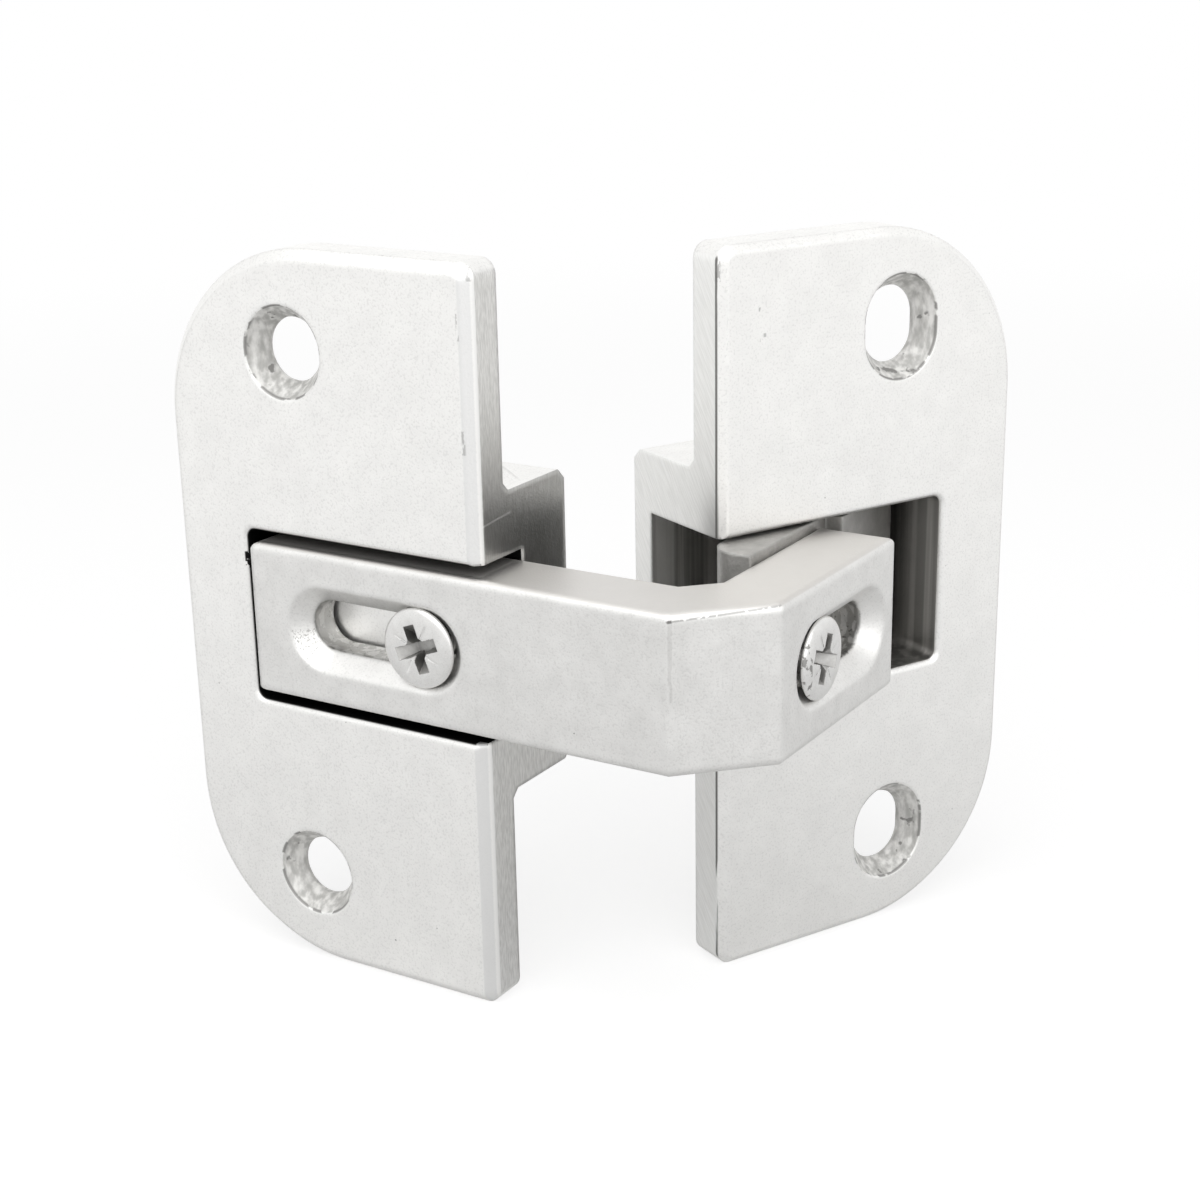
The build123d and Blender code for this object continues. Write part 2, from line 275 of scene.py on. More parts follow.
pit_cells = node(cast_skin, "ShaderNodeTexVoronoi", {
    "Vector": pit_place, "Scale": maths(cast_skin, "DIVIDE", 1.0, given.outputs["Pit Spacing"])}).outputs
pit_core = maths(cast_skin, "SUBTRACT", 1.0, smooth_step(cast_skin, pit_cells["Distance"], *PIT_RIM))
pit_draw = node(cast_skin, "ShaderNodeSeparateColor", {0: pit_cells["Color"]}).outputs[0]
pit_kept = maths(cast_skin, "LESS_THAN", pit_draw, given.outputs["Pit Share"])
pits = maths(cast_skin, "MULTIPLY", pit_core, pit_kept)
feed(cast_skin, gives.inputs["Cloud"], cloud)
feed(cast_skin, gives.inputs["Grain"], grain)
feed(cast_skin, gives.inputs["Pits"], pits)
feed(cast_skin, gives.inputs["Height"], maths(cast_skin, "SUBTRACT", grain, pits))

# soft edges: the rounding that blasting and plating leave on every corner, and where it lies
EDGE_TURN = (0.80, 0.98)
soft_edges, given, gives = effect(
    "soft_edges",
    {"Radius": 0.5},
    {"Normal": "NodeSocketVector", "Edge": "NodeSocketFloat"})
edge_radius = maths(soft_edges, "MULTIPLY", given.outputs["Radius"], MM)
edge_round = node(soft_edges, "ShaderNodeBevel", {"Radius": edge_radius}, samples=6).outputs[0]
face_normal = node(soft_edges, "ShaderNodeNewGeometry").outputs["Normal"]
edge_turn = node(soft_edges, "ShaderNodeVectorMath", {
    0: edge_round, 1: face_normal}, operation="DOT_PRODUCT").outputs["Value"]
edge_flat = smooth_step(soft_edges, edge_turn, *EDGE_TURN)
feed(soft_edges, gives.inputs["Normal"], edge_round)
feed(soft_edges, gives.inputs["Edge"], maths(soft_edges, "SUBTRACT", 1.0, edge_flat))

# painted hollow shade: a piece's own hollows and corners darkened by ambient occlusion, a painted shade
HOLLOW_RANGE = (0.05, 0.60)
painted_hollow_shade, given, gives = effect("painted_hollow_shade", {"Reach": 4.0}, {"Shade": "NodeSocketFloat"})
hollow_reach = maths(painted_hollow_shade, "MULTIPLY", given.outputs["Reach"], MM)
hollow_light = node(painted_hollow_shade, "ShaderNodeAmbientOcclusion", {
    "Distance": hollow_reach}, samples=8, only_local=True).outputs["AO"]
hollow_open = smooth_step(painted_hollow_shade, hollow_light, *HOLLOW_RANGE)
feed(painted_hollow_shade, gives.inputs["Shade"], maths(painted_hollow_shade, "SUBTRACT", 1.0, hollow_open))

# grinding marks: fine parallel scratches across a face, drawn out along one direction
grinding_marks, given, gives = effect(
    "grinding_marks",
    {"Turn": 0.0, "Spacing": 0.25, "Stretch": 14.0},
    {"Marks": "NodeSocketFloat"})
mark_turn = node(grinding_marks, "ShaderNodeCombineXYZ", {0: given.outputs["Turn"]}).outputs[0]
mark_squeeze = maths(grinding_marks, "DIVIDE", 1.0, given.outputs["Stretch"])
mark_stretch = node(grinding_marks, "ShaderNodeCombineXYZ", {0: 1.0, 1: 1.0, 2: mark_squeeze}).outputs[0]
mark_place = node(grinding_marks, "ShaderNodeVectorRotate", {
    "Vector": millimetres(grinding_marks), "Rotation": mark_turn}, rotation_type="EULER_XYZ").outputs[0]
mark_drawn = node(grinding_marks, "ShaderNodeVectorMath", {
    0: mark_place, 1: mark_stretch}, operation="MULTIPLY").outputs[0]
mark_noise = node(grinding_marks, "ShaderNodeTexNoise", {
    "Vector": mark_drawn, "Scale": maths(grinding_marks, "DIVIDE", 1.0, given.outputs["Spacing"]),
    "Detail": 3.0}).outputs[0]
feed(grinding_marks, gives.inputs["Marks"], mark_noise)


def piece_place(tree, turn, origin, mirrored=False):
    """Three measures on a piece in millimetres: along the turned x, along the turned y, and up."""
    side = -1 if mirrored else 1
    mapping = node(tree, "ShaderNodeMapping", {
        "Vector": millimetres(tree), "Location": origin, "Rotation": (0, 0, math.radians(turn)),
        "Scale": (side, 1, 1)})
    return node(tree, "ShaderNodeSeparateXYZ", {0: mapping.outputs[0]}).outputs


def softened(tree, mask, strength):
    """The mask at part of its strength."""
    return maths(tree, "MULTIPLY", mask, strength)


GRAIN_ROUGH = 0.12
GRAIN_HOLLOW = (0.50, 0.30)
GRAIN_HOLLOW_SHADE = 0.16
NOISE_SPREAD = 0.35
PATCH_BLUR = 0.03
EDGE_ROUGH = 0.45
EDGE_NICK_SPACING = 0.4
EDGE_NICK_SHARE = 0.12
EDGE_NICK_STRETCH = 3.0


class Finish:
    """A material under construction: its tree, its colour, roughness and height so far."""

    def __init__(self, name, light, dark, roughness, edge_radius=0.5, **skin):
        self.material = bpy.data.materials.new(name)
        self.material.use_nodes = True
        self.tree = self.material.node_tree
        self.shader = self.tree.nodes["Principled BSDF"]
        self.skin = placed(self.tree, cast_skin, **skin)
        self.edges = placed(self.tree, soft_edges, radius=edge_radius)
        self.colour = tint(self.tree, self.skin["Cloud"], dark, light)
        smoothest = roughness - GRAIN_ROUGH / 2
        self.roughness = maths(self.tree, "MULTIPLY_ADD", self.skin["Grain"], GRAIN_ROUGH, smoothest)
        self.height = self.skin["Height"]
        self.coat(self.skin["Pits"], PIT_GREY)
        grain_hollows = smooth_step(self.tree, self.skin["Grain"], *GRAIN_HOLLOW)
        self.coat(softened(self.tree, grain_hollows, GRAIN_HOLLOW_SHADE), PIT_GREY)

    def coat(self, mask, colour, roughness=None):
        """Lays another tone over the part of the piece that the mask gives."""
        self.colour = tint(self.tree, mask, self.colour, colour)
        if roughness is not None:
            inputs = {0: mask, 2: self.roughness, 3: roughness}
            self.roughness = node(self.tree, "ShaderNodeMix", inputs).outputs[0]

    def patchy(self, mask, spacing, share, stretch=1.0):
        """The mask broken up into irregular patches that take about the given share of it."""
        marks = placed(self.tree, grinding_marks, spacing=spacing, stretch=stretch)["Marks"]
        line = 0.5 + NOISE_SPREAD * (0.5 - share)
        kept = smooth_step(self.tree, marks, line - PATCH_BLUR, line + PATCH_BLUR)
        return maths(self.tree, "MULTIPLY", mask, kept)

    def wear_edges(self, rubbed=0.45, nicked=0.35):
        """Rubs the corners bright and leaves a few dark nicks in them."""
        self.coat(softened(self.tree, self.edges["Edge"], rubbed), WEAR_AND_HIGHLIGHT_BRIGHT, EDGE_ROUGH)
        nicks = self.patchy(self.edges["Edge"], EDGE_NICK_SPACING, EDGE_NICK_SHARE, EDGE_NICK_STRETCH)
        self.coat(softened(self.tree, nicks, nicked), NICK_AND_SHADE_GREY)

    def laid_on(self, *pieces, bump=0.35, depth=0.05, shade=0.85, reach=4.0):
        """Closes the material with painted shade in its hollows and puts it on the pieces."""
        painted_shade = placed(self.tree, painted_hollow_shade, reach=reach)["Shade"]
        self.coat(softened(self.tree, painted_shade, shade), PAINTED_HOLLOW_SHADE_GREY)
        relief = node(self.tree, "ShaderNodeBump", {
            "Height": self.height, "Strength": bump, "Distance": depth * MM,
            "Normal": self.edges["Normal"]})
        feed(self.tree, self.shader.inputs["Base Color"], self.colour)
        feed(self.tree, self.shader.inputs["Roughness"], self.roughness)
        feed(self.tree, self.shader.inputs["Normal"], relief.outputs[0])
        self.shader.inputs["Metallic"].default_value = 1.0
        for piece in pieces:
            piece.data.materials.clear()
            piece.data.materials.append(self.material)


MASK_BLUR = 0.15


def inside(tree, *ranges):
    """Mask of the places whose measures all lie in their ranges."""
    mask = 1.0
    for measure, low, high in ranges:
        between = placed(tree, band, measure=measure, low=low, high=high, blur=MASK_BLUR)["Mask"]
        mask = maths(tree, "MULTIPLY", mask, between)
    return mask


PLATE_THICKNESS = 4.4
INNER_TO_HOLES = 20.9
HOLE_HEIGHT = 26.0
SLOT_HALF_RUN = 0.7
COUNTERSINK_RADIUS = 4.4
COUNTERSINK_LIGHT = (0.82, 0.815, 0.80, 1)
COUNTERSINK_DARK = (0.54, 0.535, 0.52, 1)
COUNTERSINK_ROUGH = 0.8
CONE_START = 0.15
CONE_MARGIN = 0.1
RIM_MARGINS = (0.08, 0.04)
MARK_RANGE = (0.30, 0.70)
# open ends of a range: in front of every face, and deeper than any plate
IN_FRONT = -1.0
THROUGH = 9.0


def rough_countersinks(finish, depth, out, up, half_run):
    """Leaves the cones of the screw holes streaky and dull, as they came from the mould."""
    tree = finish.tree
    from_hole = maths(tree, "ABSOLUTE", maths(tree, "SUBTRACT", maths(tree, "ABSOLUTE", up), HOLE_HEIGHT))
    beyond = maths(tree, "MAXIMUM", maths(tree, "SUBTRACT", from_hole, half_run), 0.0)
    across = maths(tree, "SUBTRACT", out, INNER_TO_HOLES)
    squares = maths(tree, "MULTIPLY_ADD", beyond, beyond, maths(tree, "MULTIPLY", across, across))
    radius = maths(tree, "SQRT", squares)
    cone = inside(tree, (radius, IN_FRONT, COUNTERSINK_RADIUS - CONE_MARGIN), (depth, CONE_START, THROUGH))
    streaks = placed(tree, grinding_marks, spacing=0.7, stretch=2.5)["Marks"]
    cone_tone = tint(tree, smooth_step(tree, streaks, *MARK_RANGE), COUNTERSINK_DARK, COUNTERSINK_LIGHT)
    finish.coat(cone, cone_tone, COUNTERSINK_ROUGH)
    finish.coat(finish.patchy(cone, spacing=1.4, share=0.04), PIT_GREY)
    rim_low, rim_high = (COUNTERSINK_RADIUS - margin for margin in RIM_MARGINS)
    finish.coat(finish.patchy(inside(tree, (radius, rim_low, rim_high)), spacing=1.8, share=0.45), PIT_GREY)


POCKET_HALF = 8.55
POCKET_LENGTH = 26.7
POCKET_DEPTH = 11.75
POCKET_LIP = 0.5
POCKET_START = 0.2
POCKET_SHADE_GREY = (0.30, 0.295, 0.285, 1)
POCKET_SHADE_BAND = (0.54, 0.53, 0.515, 1)
POCKET_MOUTH_LIGHT = (0.85, 0.845, 0.83, 1)
POCKET_ROUGH = 0.42
POCKET_STREAKS = (0.42, 0.66)
MOUTH_REACH = (9.0, 5.0)
MOUTH_STREAKS = (0.35, 0.6)
WALL_MARGIN = 0.1
GROUND_LIGHT = (0.99, 0.99, 0.975, 1)
GROUND_DARK = (0.90, 0.90, 0.885, 1)
GROUND_ROUGH = 0.50
GROUND_SKIN = 0.03
UPPER_HALF = (0.0, 60.0)
CUP_TURN = -90
CUP_MARK_TURN = 35
CUP_MARK_RELIEF = 0.6
SEAM_DEPTH = 0.8
SEAM_FADE = 4.5
SEAM_BEFORE = 0.05
SEAM_AFTER = 0.1
CUP_FOLD_TOP = 15.0
CUP_FOLD_SHADE = 0.5
CUP_NICK_DEPTH = 0.9
CUP_NICK_SHADE = 0.5
# near and far side, foot and top of each nick
CUP_NICKS = (
    (-0.3, 0.15, 32.4, 34.5),
    (4.2, 4.35, 29.4, 29.6),
    (4.75, 4.9, 27.0, 27.2),
    (4.1, 4.25, 26.6, 26.8),
)

cup_finish = Finish("cup_nickel", NICKEL_LIGHT, NICKEL_DARK, roughness=0.42)
cup_tree = cup_finish.tree
cup_origin = (PLATE_THICKNESS, INNER_TO_HOLES, 0)
cup_depth, cup_out, cup_up = piece_place(cup_tree, CUP_TURN, cup_origin, mirrored=True)
cup_finish.wear_edges()
rough_countersinks(cup_finish, cup_depth, cup_out, cup_up, SLOT_HALF_RUN)
pocket_streaks = placed(cup_tree, grinding_marks, spacing=1.6, stretch=40.0)["Marks"]
pocket_bands = smooth_step(cup_tree, pocket_streaks, *POCKET_STREAKS)
# painted shade: the pocket's walls are laid dark and streaked, and lighter streaks near its mouth are
# painted light
cup_pocket_shade = inside(
    cup_tree, (cup_depth, POCKET_LIP, POCKET_DEPTH + POCKET_LIP),
    (cup_out, POCKET_START, POCKET_LENGTH + WALL_MARGIN),
    (cup_up, -POCKET_HALF - WALL_MARGIN, POCKET_HALF + WALL_MARGIN))
cup_finish.coat(cup_pocket_shade, tint(cup_tree, pocket_bands, POCKET_SHADE_GREY, POCKET_SHADE_BAND), POCKET_ROUGH)
pocket_mouth_light = maths(cup_tree, "MULTIPLY", cup_pocket_shade, smooth_step(cup_tree, cup_out, *MOUTH_REACH))
mouth_bands = smooth_step(cup_tree, pocket_streaks, *MOUTH_STREAKS)
cup_finish.coat(maths(cup_tree, "MULTIPLY", pocket_mouth_light, mouth_bands), POCKET_MOUTH_LIGHT)
cup_ground = inside(cup_tree, (cup_out, IN_FRONT, GROUND_SKIN))
cup_marks = placed(cup_tree, grinding_marks, turn=math.radians(CUP_MARK_TURN), spacing=0.18)["Marks"]
cup_scratched = smooth_step(cup_tree, cup_marks, *MARK_RANGE)
cup_finish.coat(cup_ground, tint(cup_tree, cup_scratched, GROUND_DARK, GROUND_LIGHT), GROUND_ROUGH)
# painted shade: the ground face darkens towards the plate's front above the pocket, standing in for the
# shade of a soft concave fold there
cup_fold_shade = smooth_step(cup_tree, cup_depth, SEAM_FADE, SEAM_DEPTH)
cup_fold_shade = maths(cup_tree, "MULTIPLY", cup_fold_shade, smooth_step(cup_tree, cup_up, CUP_FOLD_TOP, POCKET_HALF))
fold_face = inside(cup_tree, (cup_out, IN_FRONT, GROUND_SKIN), (cup_up, *UPPER_HALF))
cup_fold_shade = maths(cup_tree, "MULTIPLY", cup_fold_shade, fold_face)
cup_finish.coat(softened(cup_tree, cup_fold_shade, CUP_FOLD_SHADE), NICK_AND_SHADE_GREY)
# painted reflection: a broken dark line along the ground face's front edge, standing in for the rounded
# edge reflecting something dark
cup_seam_dark_reflection = inside(
    cup_tree, (cup_out, IN_FRONT, GROUND_SKIN),
    (cup_depth, SEAM_DEPTH - SEAM_BEFORE, SEAM_DEPTH + SEAM_AFTER))
cup_finish.coat(cup_finish.patchy(cup_seam_dark_reflection, spacing=1.5, share=0.8, stretch=8.0), NICK_AND_SHADE_GREY)
for nick_near, nick_far, nick_foot, nick_top in CUP_NICKS:
    cup_nick = inside(
        cup_tree, (cup_out, nick_near, nick_far), (cup_up, nick_foot, nick_top),
        (cup_depth, IN_FRONT, CUP_NICK_DEPTH))
    cup_nick = cup_finish.patchy(cup_nick, spacing=0.3, share=0.6, stretch=3.0)
    cup_finish.coat(softened(cup_tree, cup_nick, CUP_NICK_SHADE), NICK_AND_SHADE_GREY)
cup_relief = maths(cup_tree, "MULTIPLY", cup_ground, softened(cup_tree, cup_marks, CUP_MARK_RELIEF))
cup_finish.height = maths(cup_tree, "ADD", cup_finish.height, cup_relief)
cup_finish.laid_on(frame["nodes"]["right_cup"], shade=0.2)

# Pivot pin: a turned steel pin, bright and plain, pressed through both walls of the cup.
# Only its two ends show, in the top and bottom of the boss.
PIN_LIGHT = (0.78, 0.77, 0.75, 1)
PIN_DARK = (0.62, 0.61, 0.59, 1)
pin_finish = Finish("pin_steel", PIN_LIGHT, PIN_DARK, roughness=0.28, edge_radius=0.15, cloud_size=1.5)
pin_finish.laid_on(frame["nodes"]["pivot_pin"], bump=0.05)

# Knuckle: a small zinc casting that turns on the pin and is drawn up behind the arm by its clamp screw.
# It is blasted but not polished, so it stays grey and grainy.
KNUCKLE_LIGHT = (0.62, 0.61, 0.59, 1)
KNUCKLE_DARK = (0.28, 0.275, 0.265, 1)
knuckle_finish = Finish("knuckle_raw", KNUCKLE_LIGHT, KNUCKLE_DARK, roughness=0.48, edge_radius=0.4,
                        cloud_size=1.6, grain_size=0.35, pit_spacing=1.2, pit_share=0.4)
knuckle_finish.laid_on(frame["nodes"]["knuckle"], bump=0.5, depth=0.08)

# Cranked arm: a zinc die casting with two crisp bends, blasted and nickel plated like the plates.
# Its back is grooved for the knuckle and the guide rib, and a dished slot in each leg takes a clamp screw.
LEFT_TURN = 26.0
LEFT_HOLE_LAND = 2.4
ARM_LIGHT = (0.91, 0.905, 0.89, 1)
ARM_DARK = (0.68, 0.675, 0.66, 1)
ARM_HALF = 7.5
ARM_TIP = 25.8
ARM_PROUD = 0.6
TOP_GREY = (0.68, 0.66, 0.635, 1)
TOP_SKIN = 0.12
TOP_SHADE = 0.8
SHADE_AND_CHIP_BLACK = (0.012, 0.012, 0.012, 1)
RECESS_ROUGH = 0.6
LEG_COVERED = 0.7
LEG_SKIN = 0.35
LEG_START = 0.2
LEG_REACH = 40.0
FACET_TURN = 71.0
FACET_ORIGIN = (27.27, -17.61, 0)
FACET_LENGTH = 10.35
FACET_FRONT = -0.5
FLASH_LINE = 7.30
FLASH_SLOPE = 0.045
FLASH_HALF = 0.01
FLASH_START = 0.2
FLASH_BACK = 1.5
FLASH_SHADE = 0.6
FLASH_END_HALF = 0.06
BEND_BEFORE = 0.35
BEND_AFTER = 0.1
BEND_BACK = 1.0
BEND_HEIGHTS = (-3.0, 6.8)
BEND_SHADE = 0.2
TROUGH_GREY = (0.52, 0.515, 0.50, 1)
TROUGH_ROUGH = 0.6
TROUGH_FLOOR = 1.8
PATCH_ALONG = (19.4, 21.6)
PATCH_HEIGHTS = (-3.3, -0.7)
PATCH_DEPTHS = (-0.4, 2.2)
SLOT_WALL = 2.7
SLOT_GREY = (0.56, 0.555, 0.54, 1)
SLOT_ROUGH = 0.35
LEFT_SLOT = (3.0, 20.2)
RIGHT_SLOT = (-19.7, -4.1)
RIGHT_LEG_TURN = 116.0
RIGHT_LEG_ORIGIN = (6.825, -31.734, 0)
left_mount = next(mount for mount in frame["record"]["mounts"] if mount["name"] == "left_screws")
left_turned = Quaternion((0, 0, 1), -math.radians(LEFT_TURN)) @ Vector(left_mount["pos_m"])
left_origin = (LEFT_HOLE_LAND - left_turned.x / MM, INNER_TO_HOLES - left_turned.y / MM, 0)

arm_finish = Finish("arm_nickel", ARM_LIGHT, ARM_DARK, roughness=0.45, edge_radius=0.7)
arm_tree = arm_finish.tree
arm_finish.wear_edges(rubbed=0.5, nicked=0.45)
leg_depth, leg_out, leg_up = piece_place(arm_tree, -LEFT_TURN, left_origin)
leg_height = maths(arm_tree, "ABSOLUTE", leg_up)
# painted shade: the leg's sides and end inside the left plate's recess are laid black, standing in for the
# shade in the gap round the leg
leg_sides_shade = inside(
    arm_tree, (leg_depth, LEG_COVERED, THROUGH), (leg_out, LEG_START, LEG_REACH),
    (leg_height, ARM_HALF - LEG_SKIN, THROUGH))
leg_end_shade = inside(arm_tree, (leg_depth, LEG_COVERED, THROUGH), (leg_out, ARM_TIP - LEG_SKIN, LEG_REACH))
arm_finish.coat(maths(arm_tree, "MAXIMUM", leg_sides_shade, leg_end_shade), SHADE_AND_CHIP_BLACK, RECESS_ROUGH)
arm_top = inside(arm_tree, (leg_up, ARM_HALF - TOP_SKIN, THROUGH))
arm_finish.coat(softened(arm_tree, arm_top, TOP_SHADE), TOP_GREY)
facet_depth, facet_along, facet_up = piece_place(arm_tree, -FACET_TURN, FACET_ORIGIN)
flash_height = maths(arm_tree, "MULTIPLY_ADD", facet_along, FLASH_SLOPE, facet_up)
flash = inside(
    arm_tree, (flash_height, FLASH_LINE - FLASH_HALF, FLASH_LINE + FLASH_HALF),
    (facet_along, FLASH_START, FACET_LENGTH), (facet_depth, FACET_FRONT, FLASH_BACK))
flash = arm_finish.patchy(flash, spacing=0.4, share=0.75)
arm_finish.coat(softened(arm_tree, flash, FLASH_SHADE), NICK_AND_SHADE_GREY)
at_bend = (facet_along, FACET_LENGTH - BEND_BEFORE, FACET_LENGTH - BEND_AFTER)
flash_end = inside(
    arm_tree, (flash_height, FLASH_LINE - FLASH_END_HALF, FLASH_LINE + FLASH_END_HALF),
    at_bend, (facet_depth, FACET_FRONT, FLASH_BACK))
arm_finish.coat(flash_end, NICK_AND_SHADE_GREY)
bend_line = inside(arm_tree, at_bend, (facet_depth, FACET_FRONT, BEND_BACK), (facet_up, *BEND_HEIGHTS))
bend_line = arm_finish.patchy(bend_line, spacing=0.5, share=0.6, stretch=4.0)
arm_finish.coat(softened(arm_tree, bend_line, BEND_SHADE), PIT_GREY)
trough_patch = inside(
    arm_tree, (leg_out, *PATCH_ALONG), (leg_up, *PATCH_HEIGHTS), (leg_depth, *PATCH_DEPTHS))
arm_finish.coat(arm_finish.patchy(trough_patch, spacing=0.18, share=0.3), TROUGH_GREY, TROUGH_ROUGH)
left_bore = inside(
    arm_tree, (leg_depth, TROUGH_FLOOR - ARM_PROUD, THROUGH), (leg_height, IN_FRONT, SLOT_WALL),
    (leg_out, *LEFT_SLOT))
right_depth, right_along, right_up = piece_place(arm_tree, -RIGHT_LEG_TURN, RIGHT_LEG_ORIGIN)
right_height = maths(arm_tree, "ABSOLUTE", right_up)
right_bore = inside(
    arm_tree, (right_depth, TROUGH_FLOOR, THROUGH), (right_height, IN_FRONT, SLOT_WALL),
    (right_along, *RIGHT_SLOT))
slot_walls = maths(arm_tree, "MAXIMUM", left_bore, right_bore)
arm_finish.coat(arm_finish.patchy(slot_walls, spacing=0.8, share=0.55, stretch=2.5), SLOT_GREY, SLOT_ROUGH)
arm_finish.coat(arm_finish.patchy(slot_walls, spacing=0.6, share=0.08), PIT_GREY)
arm_finish.laid_on(frame["nodes"]["cranked_arm"], shade=0.6)

# Left plate: cast and plated as the right cup, with a shallow recess that holds the arm's left leg.
# Its inner edge is ground, and the walls of the recess are laid black as painted shade.
RIB_HALF = 5.0
RECESS_DEPTHS = (0.3, 7.4)
RECESS_START = 0.25
RECESS_END_BAND = 0.9
RIM_SHADE_GREY = (0.80, 0.80, 0.795, 1)
RIM_BAND = (0.3, 1.05)
RIM_DEPTH = 0.85
RIM_SHADE = 0.8
ARRIS_BAND = (-0.05, 0.12)
ARRIS_DEPTHS = (0.85, 1.15)
LEFT_GROUND_REFLECTION_LIGHT = (0.82, 0.815, 0.80, 1)
LEFT_GROUND_REFLECTION_DARK = (0.64, 0.635, 0.62, 1)
LEFT_GROUND_ROUGH = 0.32
LEFT_GROUND_DEPTHS = (1.2, 20.0)
REFLECTION_SHADE_GREY = (0.28, 0.275, 0.265, 1)
FOLD_TOP = 27.0
FOLD_FOOT = 14.0
FOLD_SHADE = 0.4
SCRATCH_HEIGHT = 12.0
SCRATCH_SLOPE = -0.078
SCRATCH_HALF = 0.02
SCRATCH_DEPTHS = (0.9, 5.4)
LEFT_NICK_DEPTH = 1.2
LEFT_NICK_SHADE = 0.45
# near and far side, foot and top of each nick
LEFT_NICKS = (
    (0.2, 0.4, 34.0, 35.7),
    (1.1, 1.25, 28.9, 31.1),
    (0.95, 1.1, 18.8, 20.8),
)
CHIP_ALONG = (26.6, 27.0)
CHIP_HEIGHTS = (4.7, 6.2)
CHIP_DEPTH = 1.5

left_finish = Finish("left_nickel", NICKEL_LIGHT, NICKEL_DARK, roughness=0.42, edge_radius=0.7)
left_tree = left_finish.tree
left_depth, left_out, left_up = piece_place(left_tree, -LEFT_TURN, left_origin)
left_height = maths(left_tree, "ABSOLUTE", left_up)
left_finish.wear_edges()
rough_countersinks(left_finish, left_depth, left_out, left_up, 0.0)
recess_end_wall = POCKET_LENGTH + WALL_MARGIN
recess_side_wall = POCKET_HALF + WALL_MARGIN
# painted shade: the recess walls round the leg are laid black
recess_sides_shade = inside(
    left_tree, (left_depth, *RECESS_DEPTHS), (left_out, RECESS_START, recess_end_wall),
    (left_height, RIB_HALF, recess_side_wall))
recess_end_shade = inside(
    left_tree, (left_depth, *RECESS_DEPTHS), (left_out, POCKET_LENGTH - RECESS_END_BAND, recess_end_wall),
    (left_height, IN_FRONT, recess_side_wall))
left_finish.coat(maths(left_tree, "MAXIMUM", recess_sides_shade, recess_end_shade), SHADE_AND_CHIP_BLACK, RECESS_ROUGH)
# painted shade: a grey band along the front rim beside the inner edge, standing in for the shading of its
# rounding
left_rim_shade = inside(left_tree, (left_out, *RIM_BAND), (left_depth, IN_FRONT, RIM_DEPTH))
left_finish.coat(softened(left_tree, left_rim_shade, RIM_SHADE), RIM_SHADE_GREY)
# painted highlight: a bright line along the edge between the front rim and the ground inner face
left_arris_highlight = inside(left_tree, (left_out, *ARRIS_BAND), (left_depth, *ARRIS_DEPTHS))
left_finish.coat(left_arris_highlight, WEAR_AND_HIGHLIGHT_BRIGHT)
# the ground inner face, boss included: real grinding marks, in a tone laid darker than the right cup's
# ground face as a painted dark reflection
left_ground = inside(left_tree, (left_out, IN_FRONT, GROUND_SKIN), (left_depth, *LEFT_GROUND_DEPTHS))
left_marks = placed(left_tree, grinding_marks, spacing=0.14, stretch=7.0)["Marks"]
left_scratched = smooth_step(left_tree, left_marks, *MARK_RANGE)
left_finish.coat(left_ground, tint(left_tree, left_scratched, LEFT_GROUND_REFLECTION_DARK, LEFT_GROUND_REFLECTION_LIGHT), LEFT_GROUND_ROUGH)
# painted dark reflection: the ground face grows darker downwards from near the top towards the boss
left_reflection_shade = smooth_step(left_tree, left_up, FOLD_TOP, FOLD_FOOT)
left_reflection_shade = maths(left_tree, "MULTIPLY", left_reflection_shade, inside(left_tree, (left_up, *UPPER_HALF)))
left_reflection_shade = maths(left_tree, "MULTIPLY", left_reflection_shade, left_ground)
left_finish.coat(softened(left_tree, left_reflection_shade, FOLD_SHADE), REFLECTION_SHADE_GREY)
scratch_height = maths(left_tree, "MULTIPLY_ADD", left_depth, SCRATCH_SLOPE, left_up)
scratch = inside(
    left_tree, (left_out, IN_FRONT, GROUND_SKIN), (left_depth, *SCRATCH_DEPTHS),
    (scratch_height, SCRATCH_HEIGHT - SCRATCH_HALF, SCRATCH_HEIGHT + SCRATCH_HALF))
left_finish.coat(scratch, WEAR_AND_HIGHLIGHT_BRIGHT)
for nick_near, nick_far, nick_foot, nick_top in LEFT_NICKS:
    left_nick = inside(
        left_tree, (left_out, nick_near, nick_far), (left_up, nick_foot, nick_top),
        (left_depth, IN_FRONT, LEFT_NICK_DEPTH))
    left_nick = left_finish.patchy(left_nick, spacing=0.4, share=0.6, stretch=3.0)
    left_finish.coat(softened(left_tree, left_nick, LEFT_NICK_SHADE), NICK_AND_SHADE_GREY)
chip = inside(
    left_tree, (left_out, *CHIP_ALONG), (left_up, *CHIP_HEIGHTS), (left_depth, IN_FRONT, CHIP_DEPTH))
left_finish.coat(left_finish.patchy(chip, spacing=0.7, share=0.5), SHADE_AND_CHIP_BLACK)
left_finish.laid_on(frame["nodes"]["left_plate"], shade=0.5)

# Clamp screws: M4 countersunk steel screws with a cross recess, bright plated.
# One draws the arm onto the knuckle, the other presses it into the recess of the left plate.
SCREW_SIDES = 64
HEAD_FLAT = 2.85
HEAD_RADIUS = 3.85
HEAD_RIM = 0.6
SHANK_RADIUS = 2.0
THREAD_CREST = 1.97
THREAD_ROOT = 1.58
THREAD_PITCH = 0.7
THREAD_STEPS = (0, 1, 1, 0)
NECK_END = 2.75
HEAD_PROFILE = (
    (1.55, 0.0), (HEAD_FLAT, -0.02), (3.45, -0.13), (3.70, -0.24), (3.82, -0.36), (HEAD_RADIUS, -0.46),
    (HEAD_RADIUS, -HEAD_RIM),
    (SHANK_RADIUS, SHANK_RADIUS - HEAD_RADIUS - HEAD_RIM),
    (THREAD_ROOT, -NECK_END),
)
TIP_CHAMFER = 0.5
RECESS_SPAN = 4.7
